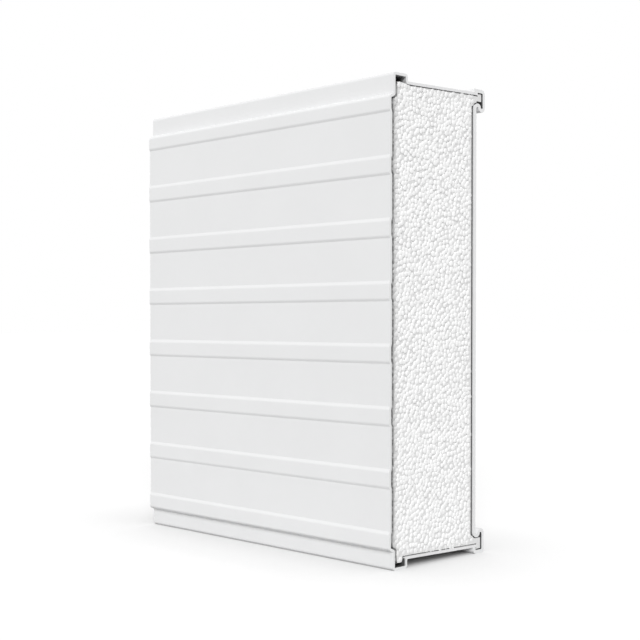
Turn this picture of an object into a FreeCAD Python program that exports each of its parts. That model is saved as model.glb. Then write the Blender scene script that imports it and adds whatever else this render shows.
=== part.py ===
"""Insulated sandwich panel: two profiled steel facings bonded to a bead-foam core.

The panel stands on its long edge, as in a wall. X runs along the ribs, Y goes through the
thickness from the ribbed front face to the back, and Z is up. Every piece is one section in
the Y-Z plane, extruded along X. A section is drawn here as depth behind the flats of the
front face and height above the floor. The origin is at the middle of the bottom of the
bounding box. All sizes are millimetres.
"""
import FreeCAD
import Part
import math
import os

# Whole panel
LENGTH = 730.0            # along the ribs
HEIGHT = 914.0            # over the lips
THICKNESS = 250.0         # flats of the front face to the back face
SKIN = 5.0                # sheet of the front facing
BACK_SKIN = 7.0           # sheet of the back facing
STRIP = 5.0               # closing strips along the two long edges

# Ribs of the front face
RIB_PITCH = 114.9         # from one rib to the next
RIB_FIRST = 38.7          # middle of the lowest rib's lower slope
RIB_BAND = 31.3           # raised band, from middle of slope to middle of slope
RIB_RISE = 2.0            # how far a band stands proud of the flats
RIB_LOWER_SLOPE = 4.5     # height of the slope under a band
RIB_UPPER_SLOPE = 6.0     # height of the slope above a band
RIB_BEND = 5.0            # bend radius at the middle of the sheet

# Box lips of the front facing, set back from its flats
LIP_SETBACK = 9.0         # flats to the outer face of the lip
LIP_WIDTH = 39.0          # over the lip's two walls
LIP_BEND = 3.5            # bend radius at the middle of the sheet
STEP_HEIGHT = 5.0         # sloped step from the face to the lip
STEP_BEND = 3.5           # bend radius at the middle of the sheet
TOP_STEP = 43.4           # panel's top down to the middle of the upper step
TOP_LIP_RISE = 12.8       # upper lip above its closing strip
BOTTOM_LIP_DROP = 16.8    # lower lip below its closing strip
LIP_RETURN = 14.0         # flange of the lip that meets the closing strip

# Hooked and hemmed lips of the back facing
HOOK_REACH = 26.5         # back face to the outer face of the hook
HOOK_BEND = 5.5           # bend radius at the middle of the sheet
HEM_DEPTH = 16.0          # foam in the hook to the far side of the hem's fold
HEM_ROOT_GAP = 6.0        # gap in the hem at the foam
HEM_FOLD_GAP = 5.0        # gap in the hem at its fold
TOP_SEAT = 28.0           # panel's top to the underside of the foam in the hook
BOTTOM_SEAT = 32.0        # panel's bottom to the top of the foam in the hook
TROUGH_BEND = 8.5         # bend radius where the back sheet turns into the trough
HEM_BEND = 6.0            # bend radius where the trough turns into the hem
FLANGE_LAP = 6.0          # the hook's flange starts this far in front of the back face
FLANGE_BEND = 4.5         # bend radius of the lower flange's upstand
UPSTAND = 12.8            # height of the lower flange's upstand, which carries the strip
STRIP_TUCK = 4.0          # the closing strips end this far behind the back face

# Foam inside the lips
FOAM_ARCH = 3.5           # crown of the foam in the upper lip
FOAM_TAIL = 24.0          # width of the foam that hangs in the lower lip
FOAM_TAIL_GAP = 6.0       # space left under it
FOAM_TAIL_ROUND = 5.0     # radius of its lower corners
FOAM_TAIL_ROOT = 1.5      # radius where it joins the core
FOAM_LIFT = 3.0           # gap over the upper trough and hem, under the foam in the hook

# Places that follow from the sizes above
HALF_SKIN = SKIN / 2
HALF_BACK = BACK_SKIN / 2
BACK_MOST = THICKNESS + HOOK_REACH
MIDDLE = (BACK_MOST - RIB_RISE) / 2
BAND_LINE = HALF_SKIN - RIB_RISE
LIP_LINE = LIP_SETBACK + HALF_SKIN
LIP_BACK_LINE = LIP_SETBACK + LIP_WIDTH - HALF_SKIN
RETURN_END = LIP_SETBACK + LIP_WIDTH + LIP_RETURN
TOP_RETURN_UNDER = HEIGHT - TOP_LIP_RISE - SKIN
BOTTOM_RETURN_OVER = BOTTOM_LIP_DROP + SKIN
BACK_LINE = THICKNESS - HALF_BACK
HOOK_LINE = BACK_MOST - HALF_BACK
FLANGE_START = THICKNESS - FLANGE_LAP
STRIP_END = THICKNESS + STRIP_TUCK
TOP_STRIP_OVER = HEIGHT - BACK_SKIN
SAME_POINT = 1e-6


def vector(depth, height):
    """Point of the section in the panel's own frame."""
    return FreeCAD.Vector(0, depth - MIDDLE, height)


def left_of(along):
    """Unit vector a quarter turn to the left of a direction in the Y-Z plane."""
    return FreeCAD.Vector(0, -along.z, along.y)


def directions(points):
    return [(end - start).normalize() for start, end in zip(points, points[1:])]


def fitted(points, radii):
    """Bend radii, held down where the straight runs beside a bend are short."""
    ways = directions(points)
    runs = [(end - start).Length for start, end in zip(points, points[1:])]
    room = [runs[0]] + [run / 2 for run in runs[1:-1]] + [runs[-1]]
    result = []
    for index, radius in enumerate(radii):
        half_turn = ways[index].getAngle(ways[index + 1]) / 2
        result.append(min(radius, min(room[index], room[index + 1]) / math.tan(half_turn)))
    return result


def beside(points, radii, offset):
    """Edges of the line beside a bent path, at a signed distance to its left.

    radii holds the bend radius of the path itself at each corner between its ends.
    """
    ways = directions(points)
    edges = []
    reached = points[0] + left_of(ways[0]) * offset
    for corner, radius, before, after in zip(points[1:], radii, ways, ways[1:]):
        turn = math.atan2(before.cross(after).x, before.dot(after))
        side = math.copysign(1, turn)
        tangent = radius * math.tan(abs(turn) / 2)
        centre = corner - before * tangent + left_of(before) * side * radius
        spokes = [left_of(before), left_of(before) + left_of(after), left_of(after)]
        reach = side * radius - offset
        start, middle, end = [centre - spoke.normalize() * reach for spoke in spokes]
        if (start - reached).Length > SAME_POINT:
            edges.append(Part.LineSegment(reached, start).toShape())
        if (end - start).Length > SAME_POINT:
            edges.append(Part.Arc(start, middle, end).toShape())
        reached = end
    edges.append(Part.LineSegment(reached, points[-1] + left_of(ways[-1]) * offset).toShape())
    return edges


def bent_sheet(path, thickness):
    """Section of a folded sheet along its middle line of (depth, height, bend radius)."""
    points = [vector(depth, height) for depth, height, bend in path]
    radii = fitted(points, [bend for depth, height, bend in path[1:-1]])
    left = beside(points, radii, thickness / 2)
    right = beside(points, radii, -thickness / 2)
    ways = directions(points)
    cut_ends = []
    for point, way in ((points[0], ways[0]), (points[-1], ways[-1])):
        across = left_of(way) * thickness / 2
        cut_ends.append(Part.LineSegment(point + across, point - across).toShape())
    return Part.Face(Part.Wire(Part.__sortEdges__(left + right + cut_ends)))


def region(corners):
    """Flat region inside corners of (depth, height, corner radius)."""
    points = [vector(depth, height) for depth, height, rounding in corners]
    seam = (points[-1] + points[0]) * 0.5
    loop = [seam] + points + [seam]
    radii = fitted(loop, [rounding for depth, height, rounding in corners])
    edges = beside(loop, radii, 0)
    return Part.Face(Part.Wire(Part.__sortEdges__(edges)))


def ribs(upper_step):
    """Middle line of the ribbed face, and the depth at which it meets the upper lip's step.

    The lowest band grows out of the lower lip's step. A band too near the upper lip to
    return to the flats runs into that lip's step instead.
    """
    path = []
    depth = BAND_LINE
    lower = RIB_FIRST
    while lower + RIB_BAND / 2 < upper_step:
        if lower > RIB_FIRST:
            path.append((HALF_SKIN, lower - RIB_LOWER_SLOPE / 2, RIB_BEND))
            path.append((BAND_LINE, lower + RIB_LOWER_SLOPE / 2, RIB_BEND))
            depth = BAND_LINE
        upper = lower + RIB_BAND
        if upper + RIB_UPPER_SLOPE < upper_step - STEP_HEIGHT:
            path.append((BAND_LINE, upper - RIB_UPPER_SLOPE / 2, RIB_BEND))
            path.append((HALF_SKIN, upper + RIB_UPPER_SLOPE / 2, RIB_BEND))
            depth = HALF_SKIN
        lower += RIB_PITCH
    return path, depth


def front_section():
    """Ribbed facing: lower box lip, ribs, upper box lip, with a return flange at each end."""
    lower_return = BOTTOM_RETURN_OVER - HALF_SKIN
    upper_return = TOP_RETURN_UNDER + HALF_SKIN
    upper_step = HEIGHT - TOP_STEP
    ribbed, last_depth = ribs(upper_step)
    return bent_sheet([
        (RETURN_END, lower_return, 0),
        (LIP_BACK_LINE, lower_return, LIP_BEND),
        (LIP_BACK_LINE, HALF_SKIN, LIP_BEND),
        (LIP_LINE, HALF_SKIN, LIP_BEND),
        (LIP_LINE, RIB_FIRST - STEP_HEIGHT / 2, STEP_BEND),
        (BAND_LINE, RIB_FIRST + STEP_HEIGHT / 2, STEP_BEND),
        *ribbed,
        (last_depth, upper_step - STEP_HEIGHT / 2, STEP_BEND),
        (LIP_LINE, upper_step + STEP_HEIGHT / 2, STEP_BEND),
        (LIP_LINE, HEIGHT - HALF_SKIN, LIP_BEND),
        (LIP_BACK_LINE, HEIGHT - HALF_SKIN, LIP_BEND),
        (LIP_BACK_LINE, upper_return, LIP_BEND),
        (RETURN_END, upper_return, 0),
    ], SKIN)


def back_section():
    """Flat facing with a hook along each edge: flange, wall, hem and trough."""
    flange_line = FLANGE_START + HALF_BACK
    hem_root = HOOK_LINE - BACK_SKIN - HEM_ROOT_GAP
    hem_tip = HOOK_LINE - BACK_SKIN - HEM_FOLD_GAP
    fold_bend = (HOOK_LINE - hem_tip) / 2
    lower_fold = BOTTOM_SEAT + HEM_DEPTH - HALF_BACK
    upper_fold = HEIGHT - TOP_SEAT - HEM_DEPTH + HALF_BACK
    lower_seat = BOTTOM_SEAT + HALF_BACK
    upper_seat = HEIGHT - TOP_SEAT - HALF_BACK
    return bent_sheet([
        (flange_line, UPSTAND, 0),
        (flange_line, HALF_BACK, FLANGE_BEND),
        (HOOK_LINE, HALF_BACK, HOOK_BEND),
        (HOOK_LINE, lower_fold, fold_bend),
        (hem_tip, lower_fold, fold_bend),
        (hem_root, lower_seat, HEM_BEND),
        (BACK_LINE, lower_seat, TROUGH_BEND),
        (BACK_LINE, upper_seat, TROUGH_BEND),
        (hem_root, upper_seat, HEM_BEND),
        (hem_tip, upper_fold, fold_bend),
        (HOOK_LINE, upper_fold, fold_bend),
        (HOOK_LINE, HEIGHT - HALF_BACK, HOOK_BEND),
        (FLANGE_START, HEIGHT - HALF_BACK, 0),
    ], BACK_SKIN)


def top_strip_section():
    """Strip from the upper lip's return to under the back facing's flange."""
    return region([
        (RETURN_END, TOP_RETURN_UNDER, 0),
        (FLANGE_START, TOP_STRIP_OVER - STRIP, 0),
        (STRIP_END, TOP_STRIP_OVER - STRIP, 0),
        (STRIP_END, TOP_STRIP_OVER, 0),
        (FLANGE_START, TOP_STRIP_OVER, 0),
        (RETURN_END, TOP_RETURN_UNDER + STRIP, 0),
    ])


def bottom_strip_section():
    """Strip from the lower lip's return to the upstand of the back facing's flange."""
    return region([
        (RETURN_END, BOTTOM_RETURN_OVER - STRIP, 0),
        (FLANGE_START, UPSTAND, 0),
        (STRIP_END, UPSTAND, 0),
        (STRIP_END, UPSTAND + STRIP, 0),
        (FLANGE_START, UPSTAND + STRIP, 0),
        (RETURN_END, BOTTOM_RETURN_OVER, 0),
    ])


def core_section(around):
    """Foam that fills the panel out to the pieces around it, and part of each lip."""
    inside_face = HALF_SKIN - RIB_RISE / 2
    lip_wall = LIP_SETBACK + SKIN
    tail_bottom = SKIN + FOAM_TAIL_GAP
    tail_side = lip_wall + FOAM_TAIL
    flange_line = FLANGE_START + HALF_BACK
    trough_centre = BACK_LINE + TROUGH_BEND
    lower_bend = BOTTOM_SEAT + HALF_BACK + TROUGH_BEND
    upper_bend = HEIGHT - TOP_SEAT - HALF_BACK - TROUGH_BEND
    filling = region([
        (inside_face, BOTTOM_RETURN_OVER, 0),
        (lip_wall, BOTTOM_RETURN_OVER, 0),
        (lip_wall, tail_bottom, FOAM_TAIL_ROUND),
        (tail_side, tail_bottom, FOAM_TAIL_ROUND),
        (tail_side, BOTTOM_RETURN_OVER, FOAM_TAIL_ROOT),
        (RETURN_END, BOTTOM_RETURN_OVER, 0),
        (flange_line, UPSTAND + STRIP / 2, 0),
        (flange_line, HALF_BACK, 0),
        (HOOK_LINE, HALF_BACK, 0),
        (HOOK_LINE, BOTTOM_SEAT, 0),
        (trough_centre, BOTTOM_SEAT, 0),
        (trough_centre, lower_bend, 0),
        (BACK_LINE, lower_bend, 0),
        (BACK_LINE, upper_bend, 0),
        (trough_centre, upper_bend, 0),
        (trough_centre, HEIGHT - TOP_SEAT + FOAM_LIFT, 0),
        (HOOK_LINE, HEIGHT - TOP_SEAT + FOAM_LIFT, 0),
        (HOOK_LINE, HEIGHT - HALF_BACK, 0),
        (flange_line, HEIGHT - HALF_BACK, 0),
        (flange_line, TOP_STRIP_OVER - STRIP / 2, 0),
        (RETURN_END, TOP_RETURN_UNDER, 0),
        (inside_face, TOP_RETURN_UNDER, 0),
    ])
    arch_end = LIP_BACK_LINE + LIP_BEND
    start = vector(LIP_LINE, TOP_RETURN_UNDER)
    crown = vector((LIP_LINE + arch_end) / 2, TOP_RETURN_UNDER + FOAM_ARCH)
    end = vector(arch_end, TOP_RETURN_UNDER)
    rim = [Part.Arc(end, crown, start).toShape(), Part.LineSegment(start, end).toShape()]
    arch = Part.Face(Part.Wire(rim))
    foam = filling.fuse(arch).removeSplitter()
    for section in around:
        foam = foam.cut(section)
    return max(foam.Faces, key=lambda face: face.Area)


def write(node, section):
    """Extrude a section along the panel and save it under its name."""
    solid = section.extrude(FreeCAD.Vector(LENGTH, 0, 0))
    solid.translate(FreeCAD.Vector(-LENGTH / 2, 0, 0))
    solid.exportStep("parts/" + node + ".step")
    box = solid.BoundBox
    print(node, solid.ShapeType, "valid", solid.isValid(), "volume", round(solid.Volume),
          "Y", round(box.YMin, 2), round(box.YMax, 2), "Z", round(box.ZMin, 2), round(box.ZMax, 2))


os.makedirs("parts", exist_ok=True)
shell = {
    "front_facing": front_section(),
    "back_facing": back_section(),
    "top_edge_strip": top_strip_section(),
    "bottom_edge_strip": bottom_strip_section(),
}
for node, section in shell.items():
    write(node, section)
write("foam_core", core_section(shell.values()))
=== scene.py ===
"""Looks of the insulated sandwich panel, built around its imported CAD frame.

The two steel facings and the two closing strips keep their CAD meshes and get procedural
finishes. The foam core is replaced by a block whose two cut ends are set back a little, with
a layer of bead domes on each. Everything is in metres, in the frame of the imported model:
X along the ribs, Y from the ribbed front to the back, Z up.
"""
import math

import bmesh
import bpy
import numpy as np
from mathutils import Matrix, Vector


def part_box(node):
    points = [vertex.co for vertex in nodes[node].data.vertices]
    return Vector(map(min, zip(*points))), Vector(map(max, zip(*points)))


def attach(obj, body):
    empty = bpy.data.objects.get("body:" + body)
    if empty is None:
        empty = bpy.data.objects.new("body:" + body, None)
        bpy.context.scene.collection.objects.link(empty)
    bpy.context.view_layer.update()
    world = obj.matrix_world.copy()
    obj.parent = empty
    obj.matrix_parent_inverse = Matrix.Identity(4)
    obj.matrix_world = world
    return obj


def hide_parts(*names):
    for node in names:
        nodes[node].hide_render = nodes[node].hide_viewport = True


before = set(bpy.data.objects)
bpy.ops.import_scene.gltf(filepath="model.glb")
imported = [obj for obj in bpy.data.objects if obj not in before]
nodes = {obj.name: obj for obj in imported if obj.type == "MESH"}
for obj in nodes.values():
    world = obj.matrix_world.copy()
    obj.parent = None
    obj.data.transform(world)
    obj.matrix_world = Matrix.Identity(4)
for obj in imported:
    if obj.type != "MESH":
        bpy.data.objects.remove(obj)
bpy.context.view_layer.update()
MM = 0.001

# Foam ends. Recesses are measured from the cut edges of the sheets.
END_RECESS = 2.2 * MM             # flat of the foam
EDGE_RECESS = 8.0 * MM            # edge of the foam, where it meets the pieces around it
STRIP_RECESS = 4.2 * MM           # the same edge, under the top strip
GLUE_AND_SHADE_WIDTH = 1.8 * MM             # glue line, painted dark as the shade of its groove, which slopes from that edge to the flat
FRONT_GAP = 5.6 * MM              # added to that width along the front facing
BACK_GAP = 3.6 * MM               # added to it along the back facing, between the hooks
FRONT_OUTLINE = 14.5 * MM         # the front outline lies within this of the foam's front
BACK_OUTLINE = (-2.5 * MM, 0.8 * MM)    # the back outline, from the back facing's inner side
HOOK_FREE = (36.0 * MM, 880.0 * MM)     # heights between the two hooks
STRIP_MARGIN = 4.0 * MM           # glue line this close under the top strip belongs to it, with paler painted shade
STRIP_TUCK = 6.0 * MM             # end of that strip where the glue line keeps its full painted shade

# Beads of the foam
BEAD_GAP = 7.6 * MM               # least distance between two beads' middles
BEAD_RADIUS = (0.62, 0.86)        # shares of BEAD_GAP
BEAD_RISE = (0.16, 0.235)         # shares of BEAD_GAP
BEAD_OVAL = (0.88, 1.12)
BEAD_TONE = (0.93, 1.0)
BEAD_MARGIN = 2.6 * MM            # least distance from a bead's middle to the flat's edge
FACING_MARGIN = 4.2 * MM          # the same, where that edge runs beside a facing
FRONT_REACH = 46.0 * MM           # edges this near the front run beside the front facing
BACK_REACH = 6.0 * MM             # edges this near the back facing run beside it
CROWN_RECESS = 0.3 * MM           # highest beads end this far behind the cut edges
BEAD_SINK = 1.1 * MM              # lowest beads lie this much deeper
RIM_SINK = 0.4 * MM               # beads at the flat's edge lie this much deeper still
RIM_SHADE = 0.12                  # and are this much darker, as painted shade
RIM_REACH = 4.0 * MM              # distance over which both of these fade
RING_ANGLES = (27.0, 55.0, 84.0)  # degrees from a bead's crown to each of its rings
RING_SPREAD = 0.85                # power that makes a bead fuller than a ball
RING_DROP = 1.3                   # power that makes its crown flatter
BEAD_SIDES = 7
BEAD_SEED = 11
TRIES = 30                        # random places for each square of BEAD_GAP
BLOCK_TONE = 0.80                 # foam between the beads

# Painted shade on the sheets' inner faces, which the recesses show. Distances are from the sides
# of each sheet's box.
UNSHADED_BAND = 2.6 * MM             # part of a sheet's inner face next to its cut edge that keeps the pale coat, without painted shade
SHADE_FADE_IN = 1.0 * MM             # painted shade comes in over this much beyond it
FACES_Y = 0.2                     # least share of a normal along Y for an inner wall
FACES_Z = 0.05                    # the same along Z, for the inner faces of a hook
FACES_X = 0.9                     # the same along X, for a cut end
FRONT_WALL = 21.0 * MM            # inner wall of the front facing, from the front
LIP_INSIDE = (15.5 * MM, 45.7 * MM)     # insides of its box lips, from the front
LIP_SKIN = 4.7 * MM               # and from the top or the bottom
UPPER_LIP = 18.2 * MM             # inside of the upper lip ends here, from the top
LOWER_LIP = 22.2 * MM             # inside of the lower lip ends here, from the bottom
UPPER_FADE = 20.0 * MM            # depth at which the painted shade of each is full
LOWER_FADE = 4.0 * MM
LIP_START = 0.4                   # share of their painted shade at the cut edge
BACK_WALL = (-1.0 * MM, 3.5 * MM)       # inner wall of the back facing, from its inner side
BACK_WALL_FOOT = 18.5 * MM
BACK_WALL_HEAD = 7.2 * MM
# share of the full painted shade on the back facing's inner wall
BACK_WALL_DARK = 0.9
HOOK_WALL = 8.5 * MM              # wall of the hooks, from the back
HOOK_SKIN = 6.8 * MM              # and from the top and the bottom
HEM_INSIDE = (-30.5 * MM, -6.0 * MM)    # faces in the hooks that get painted shade, from the back
# Which way each of those faces looks, and its two heights in millimetres, from the top of the
# back facing where they are negative and from its bottom where they aren't
HOOK_FACES = (("up", -38.2, -24.5), ("down", 31.0, 42.2), ("down", -8.2, -5.5), ("up", 5.5, 8.2))

# Paint, as linear colours
COAT = (0.845, 0.848, 0.852)
# painted shade on the sheets' inner faces, in the recesses and hooks
INNER_PAINTED_SHADE = (0.085, 0.085, 0.086)
CUT_STEEL = (0.81, 0.813, 0.816)
STRIP = (0.80, 0.80, 0.805)
# glue line, painted near black as the shade in its groove
GLUE_AND_SHADE = (0.10, 0.10, 0.10)
STRIP_GLUE_AND_SHADE = (0.45, 0.45, 0.45)   # glue line and its painted shade, paler under the top strip
FOAM = (0.945, 0.945, 0.945)
FRONT_SHADE = 0.54                # painted shade: tone of the foam right beside the front facing, which shades it
FRONT_SHADE_SPAN = (4.0 * MM, 21.0 * MM)    # where that shade fades, from the foam's front
FLOOR = (0.52, 0.52, 0.52)

# Light
SKY = 0.48                        # strength of the world as light
SKY_SEEN = 1.0                    # strength as the camera, gloss and glass see it
SUN = 2.52
SUN_SPREAD = 24.0
SUN_AZIMUTH = 45.7
SUN_HEIGHT = 29.0
FLOOR_HALF = 40.0                 # half of the floor's side
FLOOR_GLOW = 0.57                 # rest of the floor's white, which lights nothing
FLOOR_SHADE = 0.42                # share of that glow which a tall wall takes away beside it
FLOOR_SHADE_REACH = 0.32

# Camera
CAMERA_AT = (1.8597, -1.77495, 0.4583)
CAMERA_AZIMUTH = 45.688
CAMERA_PITCH = -1.198
CAMERA_LENS = 68.275
CAMERA_SHIFT_Y = 0.04214


# ---------------------------------------------------------------- node helpers

def feed(tree, socket, value):
    """Gives a socket its value: another node's output, a colour or a plain number."""
    if isinstance(value, bpy.types.NodeSocket):
        tree.links.new(value, socket)
    elif isinstance(value, tuple) and len(value) == 3 and len(socket.default_value) == 4:
        socket.default_value = (*value, 1)
    else:
        socket.default_value = value


def math_node(tree, operation, *values):
    node = tree.nodes.new("ShaderNodeMath")
    node.operation = operation
    for socket, value in zip(node.inputs, values):
        feed(tree, socket, value)
    return node.outputs[0]


class Nodes:
    """A material's node tree, with short calls for the nodes that this file uses."""

    def __init__(self, name):
        self.material = bpy.data.materials.new(name)
        self.material.use_nodes = True
        self.tree = self.material.node_tree
        self.shader = self.tree.nodes["Principled BSDF"]
        self.place = self.add("ShaderNodeTexCoord").outputs["Object"]

    def add(self, kind, settings=None, **inputs):
        node = self.tree.nodes.new(kind)
        for name, value in (settings or {}).items():
            setattr(node, name, value)
        for name, value in inputs.items():
            feed(self.tree, node.inputs[name], value)
        return node

    def math(self, operation, *values):
        return math_node(self.tree, operation, *values)

    def axes(self, vector):
        return self.add("ShaderNodeSeparateXYZ", Vector=vector).outputs

    def mix(self, factor, first, second):
        node = self.add("ShaderNodeMix", {"data_type": "RGBA"})
        for index, value in ((0, factor), (6, first), (7, second)):
            feed(self.tree, node.inputs[index], value)
        return node.outputs[2]

    def ramp(self, value, low, high, out_low=0.0, out_high=1.0):
        node = self.add("ShaderNodeMapRange", {"interpolation_type": "SMOOTHSTEP"})
        for socket, given in zip(node.inputs, (value, low, high, out_low, out_high)):
            feed(self.tree, socket, given)
        return node.outputs[0]

    def noise(self, scale, detail, roughness=0.5, place=None):
        return self.add("ShaderNodeTexNoise", Vector=place or self.place, Scale=scale,
                        Detail=detail, Roughness=roughness).outputs[0]

    def stretched(self, scale):
        """Places for a noise that is drawn out along some axes."""
        return self.add("ShaderNodeVectorMath", {"operation": "MULTIPLY"}, Vector=self.place,
                        Vector_001=scale).outputs[0]

    def bump(self, height, strength, distance):
        node = self.add("ShaderNodeBump", Height=height, Strength=strength, Distance=distance)
        feed(self.tree, self.shader.inputs["Normal"], node.outputs[0])

    def inside(self, axes, y_low, y_high, z_low, z_high):
        """1 where a place lies within a box of the section, else 0."""
        result = self.math("GREATER_THAN", axes[1], y_low)
        for operation, axis, edge in (("LESS_THAN", 1, y_high), ("GREATER_THAN", 2, z_low),
                                      ("LESS_THAN", 2, z_high)):
            result = self.math("MULTIPLY", result, self.math(operation, axes[axis], edge))
        return result

    def finish(self, **sockets):
        for name, value in sockets.items():
            feed(self.tree, self.shader.inputs[name.replace("_", " ")], value)
        return self.material


def darker(colour, share):
    return tuple(share * part for part in colour)


# ---------------------------------------------------------------- finishes

def coated_steel(name, inner_shade_of):
    """Satin coil coat outside, painted shade on the inner faces where they are seen, bare metal
    on the cut ends.
    """
    n = Nodes(name)
    place = n.axes(n.place)
    normal = n.axes(n.add("ShaderNodeNewGeometry").outputs["True Normal"])
    cloud = n.ramp(n.noise(7.0, detail=3.0), 0.3, 0.7)
    coat = n.mix(cloud, darker(COAT, 0.985), COAT)
    # painted shade on the inner faces
    coat = n.mix(inner_shade_of(n, place, normal), coat, INNER_PAINTED_SHADE)
    shear = n.noise(1.0, detail=4.0, roughness=0.6, place=n.stretched((900.0, 2600.0, 500.0)))
    steel = n.mix(n.ramp(shear, 0.35, 0.65), darker(CUT_STEEL, 0.93), CUT_STEEL)
    cut = n.math("GREATER_THAN", n.math("ABSOLUTE", normal[0]), FACES_X)
    n.bump(n.noise(520.0, detail=3.0, roughness=0.55), strength=0.12, distance=0.12 * MM)
    rough = n.ramp(n.noise(55.0, detail=3.0), 0.3, 0.7, 0.40, 0.47)
    return n.finish(Base_Color=n.mix(cut, coat, steel), Roughness=rough, IOR=1.47)


def end_depth(n, place):
    """How far a place lies behind the nearer cut end of the sheets."""
    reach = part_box("front_facing")[1].x
    return n.math("SUBTRACT", reach, n.math("ABSOLUTE", place[0]))


def front_inner_shade(n, place, normal):
    """Where painted shade darkens the inner faces of the ribbed sheet and its two box lips, more
    deeply inside the lips.
    """
    lo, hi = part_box("front_facing")
    depth = end_depth(n, place)
    wall = n.math("MULTIPLY", n.math("GREATER_THAN", normal[1], FACES_Y),
                  n.math("LESS_THAN", place[1], lo.y + FRONT_WALL))
    dark = n.math("MULTIPLY", wall, n.ramp(depth, UNSHADED_BAND, UNSHADED_BAND + SHADE_FADE_IN))
    for z_low, z_high, fade in ((hi.z - UPPER_LIP, hi.z - LIP_SKIN, UPPER_FADE),
                                (lo.z + LIP_SKIN, lo.z + LOWER_LIP, LOWER_FADE)):
        lip = n.inside(place, lo.y + LIP_INSIDE[0], lo.y + LIP_INSIDE[1], z_low, z_high)
        lip = n.math("MULTIPLY", lip, n.ramp(depth, 0.0, fade, LIP_START, 1.0))
        dark = n.math("MAXIMUM", dark, lip)
    return dark


def back_inner_shade(n, place, normal):
    """Where painted shade darkens the inner faces of the flat sheet, of its hooks and of the gaps
    in their hems.
    """
    lo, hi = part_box("back_facing")
    wall = n.inside(place, lo.y + BACK_WALL[0], lo.y + BACK_WALL[1],
                    lo.z + BACK_WALL_FOOT, hi.z - BACK_WALL_HEAD)
    past_band = n.ramp(end_depth(n, place), UNSHADED_BAND, UNSHADED_BAND + SHADE_FADE_IN,
                       0.0, BACK_WALL_DARK)
    wall = n.math("MULTIPLY", wall, past_band)
    hook = n.inside(place, hi.y - HOOK_WALL, hi.y, lo.z + HOOK_SKIN, hi.z - HOOK_SKIN)
    inward = n.math("LESS_THAN", normal[1], -FACES_Y)
    dark = n.math("MULTIPLY", inward, n.math("MAXIMUM", wall, hook))
    for looks, low, high in HOOK_FACES:
        base = hi.z if low < 0 else lo.z
        gap = n.inside(place, hi.y + HEM_INSIDE[0], hi.y + HEM_INSIDE[1],
                       base + low * MM, base + high * MM)
        if looks == "up":
            facing = n.math("GREATER_THAN", normal[2], FACES_Z)
        else:
            facing = n.math("LESS_THAN", normal[2], -FACES_Z)
        dark = n.math("MAXIMUM", dark, n.math("MULTIPLY", gap, facing))
    return dark


def strip_finish():
    """Closing strips: pale, slightly mottled plastic."""
    n = Nodes("edge_strip_finish")
    mottle = n.ramp(n.noise(90.0, detail=3.0), 0.3, 0.7)
    n.bump(n.noise(900.0, detail=2.0), strength=0.15, distance=0.1 * MM)
    return n.finish(Base_Color=n.mix(mottle, darker(STRIP, 0.95), STRIP), Roughness=0.5)


def foam_finish(name):
    """Bead foam with small cells. The mesh gives the tone: one for the block, one a bead, darker
    near the flat's edge as painted shade; beside the front facing the foam also gets painted
    shade.
    """
    n = Nodes(name)
    tone = n.add("ShaderNodeAttribute", {"attribute_name": "tone"}).outputs["Fac"]
    grain = n.noise(1500.0, detail=2.0)
    speck = n.ramp(grain, 0.3, 0.7, 0.97, 1.0)
    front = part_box("foam_core")[0].y
    start, end = FRONT_SHADE_SPAN
    # painted shade: the foam is darker right beside the front facing
    shade = n.ramp(n.axes(n.place)[1], front + start, front + end, FRONT_SHADE, 1.0)
    value = n.math("MULTIPLY", n.math("MULTIPLY", tone, speck), shade)
    cell = n.add("ShaderNodeTexVoronoi", {"feature": "F1"}, Vector=n.place, Scale=190.0,
                 Randomness=1.0).outputs["Distance"]
    height = n.math("ADD", n.math("MULTIPLY", cell, -0.6), n.math("MULTIPLY", grain, 0.15))
    n.bump(height, strength=0.3, distance=0.6 * MM)
    return n.finish(Base_Color=n.mix(value, (0.0, 0.0, 0.0), FOAM), Roughness=0.75)


def glue_and_shade_finish():
    """Glue line round the foam, blotchy and painted near black as the shade in its groove, but
    pale under the top strip.
    """
    n = Nodes("glue_line_and_shade_finish")
    blotch = n.noise(160.0, detail=3.0)
    colour = n.mix(n.ramp(blotch, 0.35, 0.65), GLUE_AND_SHADE, darker(GLUE_AND_SHADE, 3.0))
    lo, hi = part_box("top_edge_strip")
    under = n.inside(n.axes(n.place), lo.y, hi.y - STRIP_TUCK, lo.z - STRIP_MARGIN, hi.z)
    n.bump(blotch, strength=0.4, distance=0.5 * MM)
    return n.finish(Base_Color=n.mix(under, colour, STRIP_GLUE_AND_SHADE), Roughness=0.6)


# ---------------------------------------------------------------- foam core

def foam_mesh():
    """The CAD foam as one closed bmesh."""
    mesh = bmesh.new()
    mesh.from_mesh(nodes["foam_core"].data)
    bmesh.ops.remove_doubles(mesh, verts=mesh.verts, dist=1e-6)
    return mesh


def end_faces(mesh, side, reach):
    return [f for f in mesh.faces if all(v.co.x * side > reach - 1e-5 for v in f.verts)]


def outline(mesh, side, reach):
    """Edges round the flat of one end of the foam, as pairs of (y, z)."""
    faces = set(end_faces(mesh, side, reach))
    edges = {e for f in faces for e in f.edges if sum(g in faces for g in e.link_faces) == 1}
    return np.array([[(v.co.y, v.co.z) for v in e.verts] for e in edges])


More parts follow.
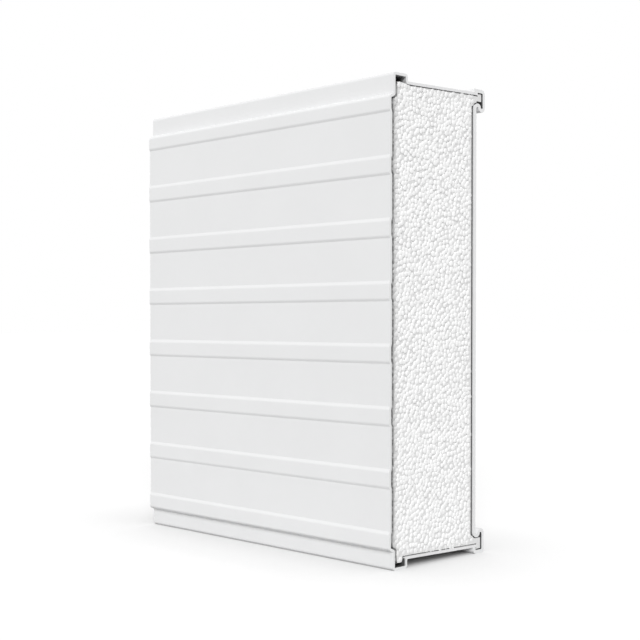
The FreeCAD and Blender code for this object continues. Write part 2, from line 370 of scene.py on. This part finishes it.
def set_back(mesh, side, reach):
    """Sets one end back, with a sloping glue line round it, painted dark as its shade."""
    faces = end_faces(mesh, side, reach)
    ring = bmesh.ops.inset_region(mesh, faces=faces, thickness=GLUE_AND_SHADE_WIDTH,
                                  use_even_offset=True, use_boundary=True)["faces"]
    flat = {v for f in faces for v in f.verts}
    rim = {v for f in ring for v in f.verts} - flat
    front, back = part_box("foam_core")[0].y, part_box("back_facing")[0].y
    strip_low, strip_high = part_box("top_edge_strip")
    for vert in flat:
        vert.co.x = side * (reach - END_RECESS)
        if vert.co.y < front + FRONT_OUTLINE:
            vert.co.y += FRONT_GAP
        elif (back + BACK_OUTLINE[0] < vert.co.y < back + BACK_OUTLINE[1]
              and HOOK_FREE[0] < vert.co.z < HOOK_FREE[1]):
            vert.co.y -= BACK_GAP
    for vert in rim:
        under = (strip_low.y < vert.co.y < strip_high.y
                 and vert.co.z > strip_low.z - STRIP_MARGIN)
        vert.co.x = side * (reach - (STRIP_RECESS if under else EDGE_RECESS))
    for face in ring:
        face.material_index = 1


def placed(name, data, finishes):
    piece = bpy.data.objects.new(name, data)
    bpy.context.scene.collection.objects.link(piece)
    for finish in finishes:
        data.materials.append(finish)
    return piece


def give_tones(data, tones):
    """Stores the tone of each vertex, which foam_finish reads."""
    layer = data.attributes.new("tone", "FLOAT", "POINT")
    layer.data.foreach_set("value", tones.astype(np.float32))


def block(mesh):
    """The foam block as an object, which stands for the CAD core."""
    data = bpy.data.meshes.new("foam_block")
    mesh.to_mesh(data)
    give_tones(data, np.full(len(data.vertices), BLOCK_TONE))
    return placed("foam_block", data, [foam_finish("bead_foam_finish"), glue_and_shade_finish()])


def inside_outline(points, edges):
    """Which points lie inside the closed outline, and how far each is from it."""
    crossings = np.zeros(len(points), int)
    nearest = np.full(len(points), np.inf)
    for start, end in edges:
        if start[1] != end[1]:
            level = (points[:, 1] - start[1]) / (end[1] - start[1])
            low, high = min(start[1], end[1]), max(start[1], end[1])
            within = (points[:, 1] >= low) & (points[:, 1] < high)
            crossings += within & (points[:, 0] < start[0] + level * (end[0] - start[0]))
        run = end - start
        share = np.clip((points - start) @ run / (run @ run), 0, 1)
        nearest = np.minimum(nearest, np.hypot(*(points - start - share[:, None] * run).T))
    return crossings % 2 == 1, nearest


def by_facing(edges):
    """Which edges of the flat run beside a facing, rather than beside a closing strip."""
    middles = edges.mean(1)[:, 0]
    front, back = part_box("front_facing")[0].y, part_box("back_facing")[0].y
    return (middles < front + FRONT_REACH) | (middles > back - BACK_REACH)


def scattered(edges, rng):
    """Middles of the beads: as many random places as fit with the least distance between."""
    low, high = edges.min((0, 1)), edges.max((0, 1))
    tries = int(TRIES * np.prod(high - low) / BEAD_GAP ** 2)
    points = low + rng.random((tries, 2)) * (high - low)
    held, depth = inside_outline(points, edges)
    facing_depth = inside_outline(points, edges[by_facing(edges)])[1]
    before_hooks = points[:, 0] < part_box("back_facing")[0].y
    deep_enough = (depth > BEAD_MARGIN) & (facing_depth > FACING_MARGIN)
    cell = BEAD_GAP / math.sqrt(2)
    taken = {}
    for y, z in points[held & deep_enough & before_hooks]:
        column, row = int(y // cell), int(z // cell)
        near = (taken.get((column + i, row + j)) for i in range(-2, 3) for j in range(-2, 3))
        if all(p is None or (p[0] - y) ** 2 + (p[1] - z) ** 2 > BEAD_GAP ** 2 for p in near):
            taken[column, row] = (y, z)
    return np.array(list(taken.values()))


def dome_faces():
    """Triangles of one dome: its crown is vertex 0, and its rings follow from inside out."""
    around = [(i, (i + 1) % BEAD_SIDES) for i in range(BEAD_SIDES)]
    faces = [(0, 1 + i, 1 + j) for i, j in around]
    for ring in range(len(RING_ANGLES) - 1):
        inner, outer = 1 + ring * BEAD_SIDES, 1 + (ring + 1) * BEAD_SIDES
        faces += [(inner + i, outer + i, outer + j) for i, j in around]
        faces += [(inner + i, outer + j, inner + j) for i, j in around]
    return faces


def beads(name, edges, side, reach, seed):
    """One end's beads as a single mesh of domes."""
    rng = np.random.default_rng(seed)
    middles = scattered(edges, rng)
    count = len(middles)
    at_rim = np.exp(-(inside_outline(middles, edges)[1] - BEAD_MARGIN) / RIM_REACH)
    radius = BEAD_GAP * rng.uniform(*BEAD_RADIUS, count)
    rise = BEAD_GAP * rng.uniform(*BEAD_RISE, count)
    sink = rng.uniform(0, BEAD_SINK, count) + RIM_SINK * at_rim
    turn = rng.uniform(0, 2 * math.pi, count)
    oval = rng.uniform(*BEAD_OVAL, count)[:, None]
    lean = rng.uniform(0, math.pi, count)[:, None]
    # random tone of each bead, times painted shade near the flat's edge
    tone = rng.uniform(*BEAD_TONE, count) * (1 - RIM_SHADE * at_rim)
    crown = reach - CROWN_RECESS - sink

    per_bead = 1 + len(RING_ANGLES) * BEAD_SIDES
    verts = np.zeros((count, per_bead, 3))
    verts[:, 0] = np.stack([crown, middles[:, 0], middles[:, 1]], 1)
    around = turn[:, None] + 2 * math.pi * np.arange(BEAD_SIDES) / BEAD_SIDES
    c, s = np.cos(lean), np.sin(lean)
    for ring, angle in enumerate(np.radians(RING_ANGLES)):
        flat = radius[:, None] * math.sin(angle) ** RING_SPREAD
        u, v = flat * np.cos(around) * oval, flat * np.sin(around) / oval
        place = slice(1 + ring * BEAD_SIDES, 1 + (ring + 1) * BEAD_SIDES)
        verts[:, place, 0] = (crown - rise * (1 - math.cos(angle)) ** RING_DROP)[:, None]
        verts[:, place, 1] = middles[:, :1] + c * u - s * v
        verts[:, place, 2] = middles[:, 1:] + s * u + c * v
    verts[:, :, 0] *= side

    dome = np.array(dome_faces())[:, ::side]
    faces = (dome[None] + per_bead * np.arange(count)[:, None, None]).reshape(-1, 3)
    data = bpy.data.meshes.new(name)
    data.from_pydata(verts.reshape(-1, 3), [], faces.tolist())
    data.shade_smooth()
    give_tones(data, np.repeat(tone, per_bead))
    return placed(name, data, [bpy.data.materials["bead_foam_finish"]])


def make_foam():
    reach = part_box("foam_core")[1].x
    mesh = foam_mesh()
    for side in (1, -1):
        set_back(mesh, side, reach)
    outlines = {side: outline(mesh, side, reach - END_RECESS) for side in (1, -1)}
    core = block(mesh)
    mesh.free()
    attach(core, "root")
    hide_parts("foam_core")
    for side, word in ((1, "right"), (-1, "left")):
        layer = beads("foam_beads_" + word, outlines[side], side, reach, BEAD_SEED + side)
        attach(layer, "root")


# ---------------------------------------------------------------- stage and camera

def floor_finish():
    """Matte white floor, part of whose white is a glow that only the camera sees.

    The glow fades near the panel, by the share of the sky that a place sees: 1 in the open,
    0.5 at the foot of a tall wall, where FLOOR_SHADE of the glow is gone, and 0 under the
    panel, where all of it is gone.
    """
    material = bpy.data.materials.new("floor_finish")
    material.use_nodes = True
    tree = material.node_tree
    tree.nodes.clear()
    diffuse = tree.nodes.new("ShaderNodeBsdfDiffuse")
    diffuse.inputs["Color"].default_value = (*FLOOR, 1)
    open_sky = tree.nodes.new("ShaderNodeAmbientOcclusion")
    open_sky.inputs["Distance"].default_value = FLOOR_SHADE_REACH
    sky = open_sky.outputs["AO"]
    by_wall = math_node(tree, "MULTIPLY_ADD", sky, 2 * FLOOR_SHADE, 1 - 2 * FLOOR_SHADE)
    under = math_node(tree, "MULTIPLY", sky, 2 * (1 - FLOOR_SHADE))
    shade = math_node(tree, "MINIMUM", under, by_wall)
    camera_ray = tree.nodes.new("ShaderNodeLightPath").outputs["Is Camera Ray"]
    strength = math_node(tree, "MULTIPLY", math_node(tree, "MULTIPLY", camera_ray, shade),
                         FLOOR_GLOW)
    glow = tree.nodes.new("ShaderNodeEmission")
    both = tree.nodes.new("ShaderNodeAddShader")
    out = tree.nodes.new("ShaderNodeOutputMaterial")
    tree.links.new(strength, glow.inputs["Strength"])
    tree.links.new(diffuse.outputs[0], both.inputs[0])
    tree.links.new(glow.outputs[0], both.inputs[1])
    tree.links.new(both.outputs[0], out.inputs["Surface"])
    return material


def make_floor():
    mesh = bmesh.new()
    bmesh.ops.create_grid(mesh, x_segments=1, y_segments=1, size=FLOOR_HALF)
    data = bpy.data.meshes.new("floor")
    mesh.to_mesh(data)
    mesh.free()
    floor = placed("floor", data, [floor_finish()])


def make_world():
    """White surroundings, brighter to look at than they are as light."""
    world = bpy.data.worlds.new("studio")
    bpy.context.scene.world = world
    world.use_nodes = True
    tree = world.node_tree
    background = tree.nodes["Background"]
    background.inputs["Color"].default_value = (1, 1, 1, 1)
    rays = tree.nodes.new("ShaderNodeLightPath").outputs
    seen = math_node(tree, "MAXIMUM", rays["Is Camera Ray"], rays["Is Glossy Ray"])
    seen = math_node(tree, "MAXIMUM", seen, rays["Is Transmission Ray"])
    strength = math_node(tree, "MULTIPLY_ADD", seen, SKY_SEEN - SKY, SKY)
    tree.links.new(strength, background.inputs["Strength"])


def make_sun():
    light = bpy.data.lights.new("key", "SUN")
    light.energy = SUN
    light.angle = math.radians(SUN_SPREAD)
    lamp = bpy.data.objects.new("key", light)
    azimuth, height = math.radians(SUN_AZIMUTH), math.radians(SUN_HEIGHT)
    towards = Vector((math.sin(azimuth) * math.cos(height), -math.cos(azimuth) * math.cos(height),
                      math.sin(height)))
    lamp.rotation_euler = towards.to_track_quat("Z", "Y").to_euler()
    bpy.context.scene.collection.objects.link(lamp)


def make_camera():
    data = bpy.data.cameras.new("camera")
    data.lens = CAMERA_LENS
    data.shift_y = CAMERA_SHIFT_Y
    camera = bpy.data.objects.new("camera", data)
    camera.location = CAMERA_AT
    camera.rotation_euler = (math.radians(90 + CAMERA_PITCH), 0, math.radians(CAMERA_AZIMUTH))
    bpy.context.scene.collection.objects.link(camera)
    bpy.context.scene.camera = camera


def dress(node, finish):
    for material_slot in nodes[node].material_slots:
        material_slot.material = finish


dress("front_facing", coated_steel("front_coat_finish", front_inner_shade))
dress("back_facing", coated_steel("back_coat_finish", back_inner_shade))
strip_plastic = strip_finish()
for strip in ("top_edge_strip", "bottom_edge_strip"):
    dress(strip, strip_plastic)
make_foam()
make_floor()
make_world()
make_sun()
make_camera()
bpy.context.scene.view_settings.view_transform = "Standard"
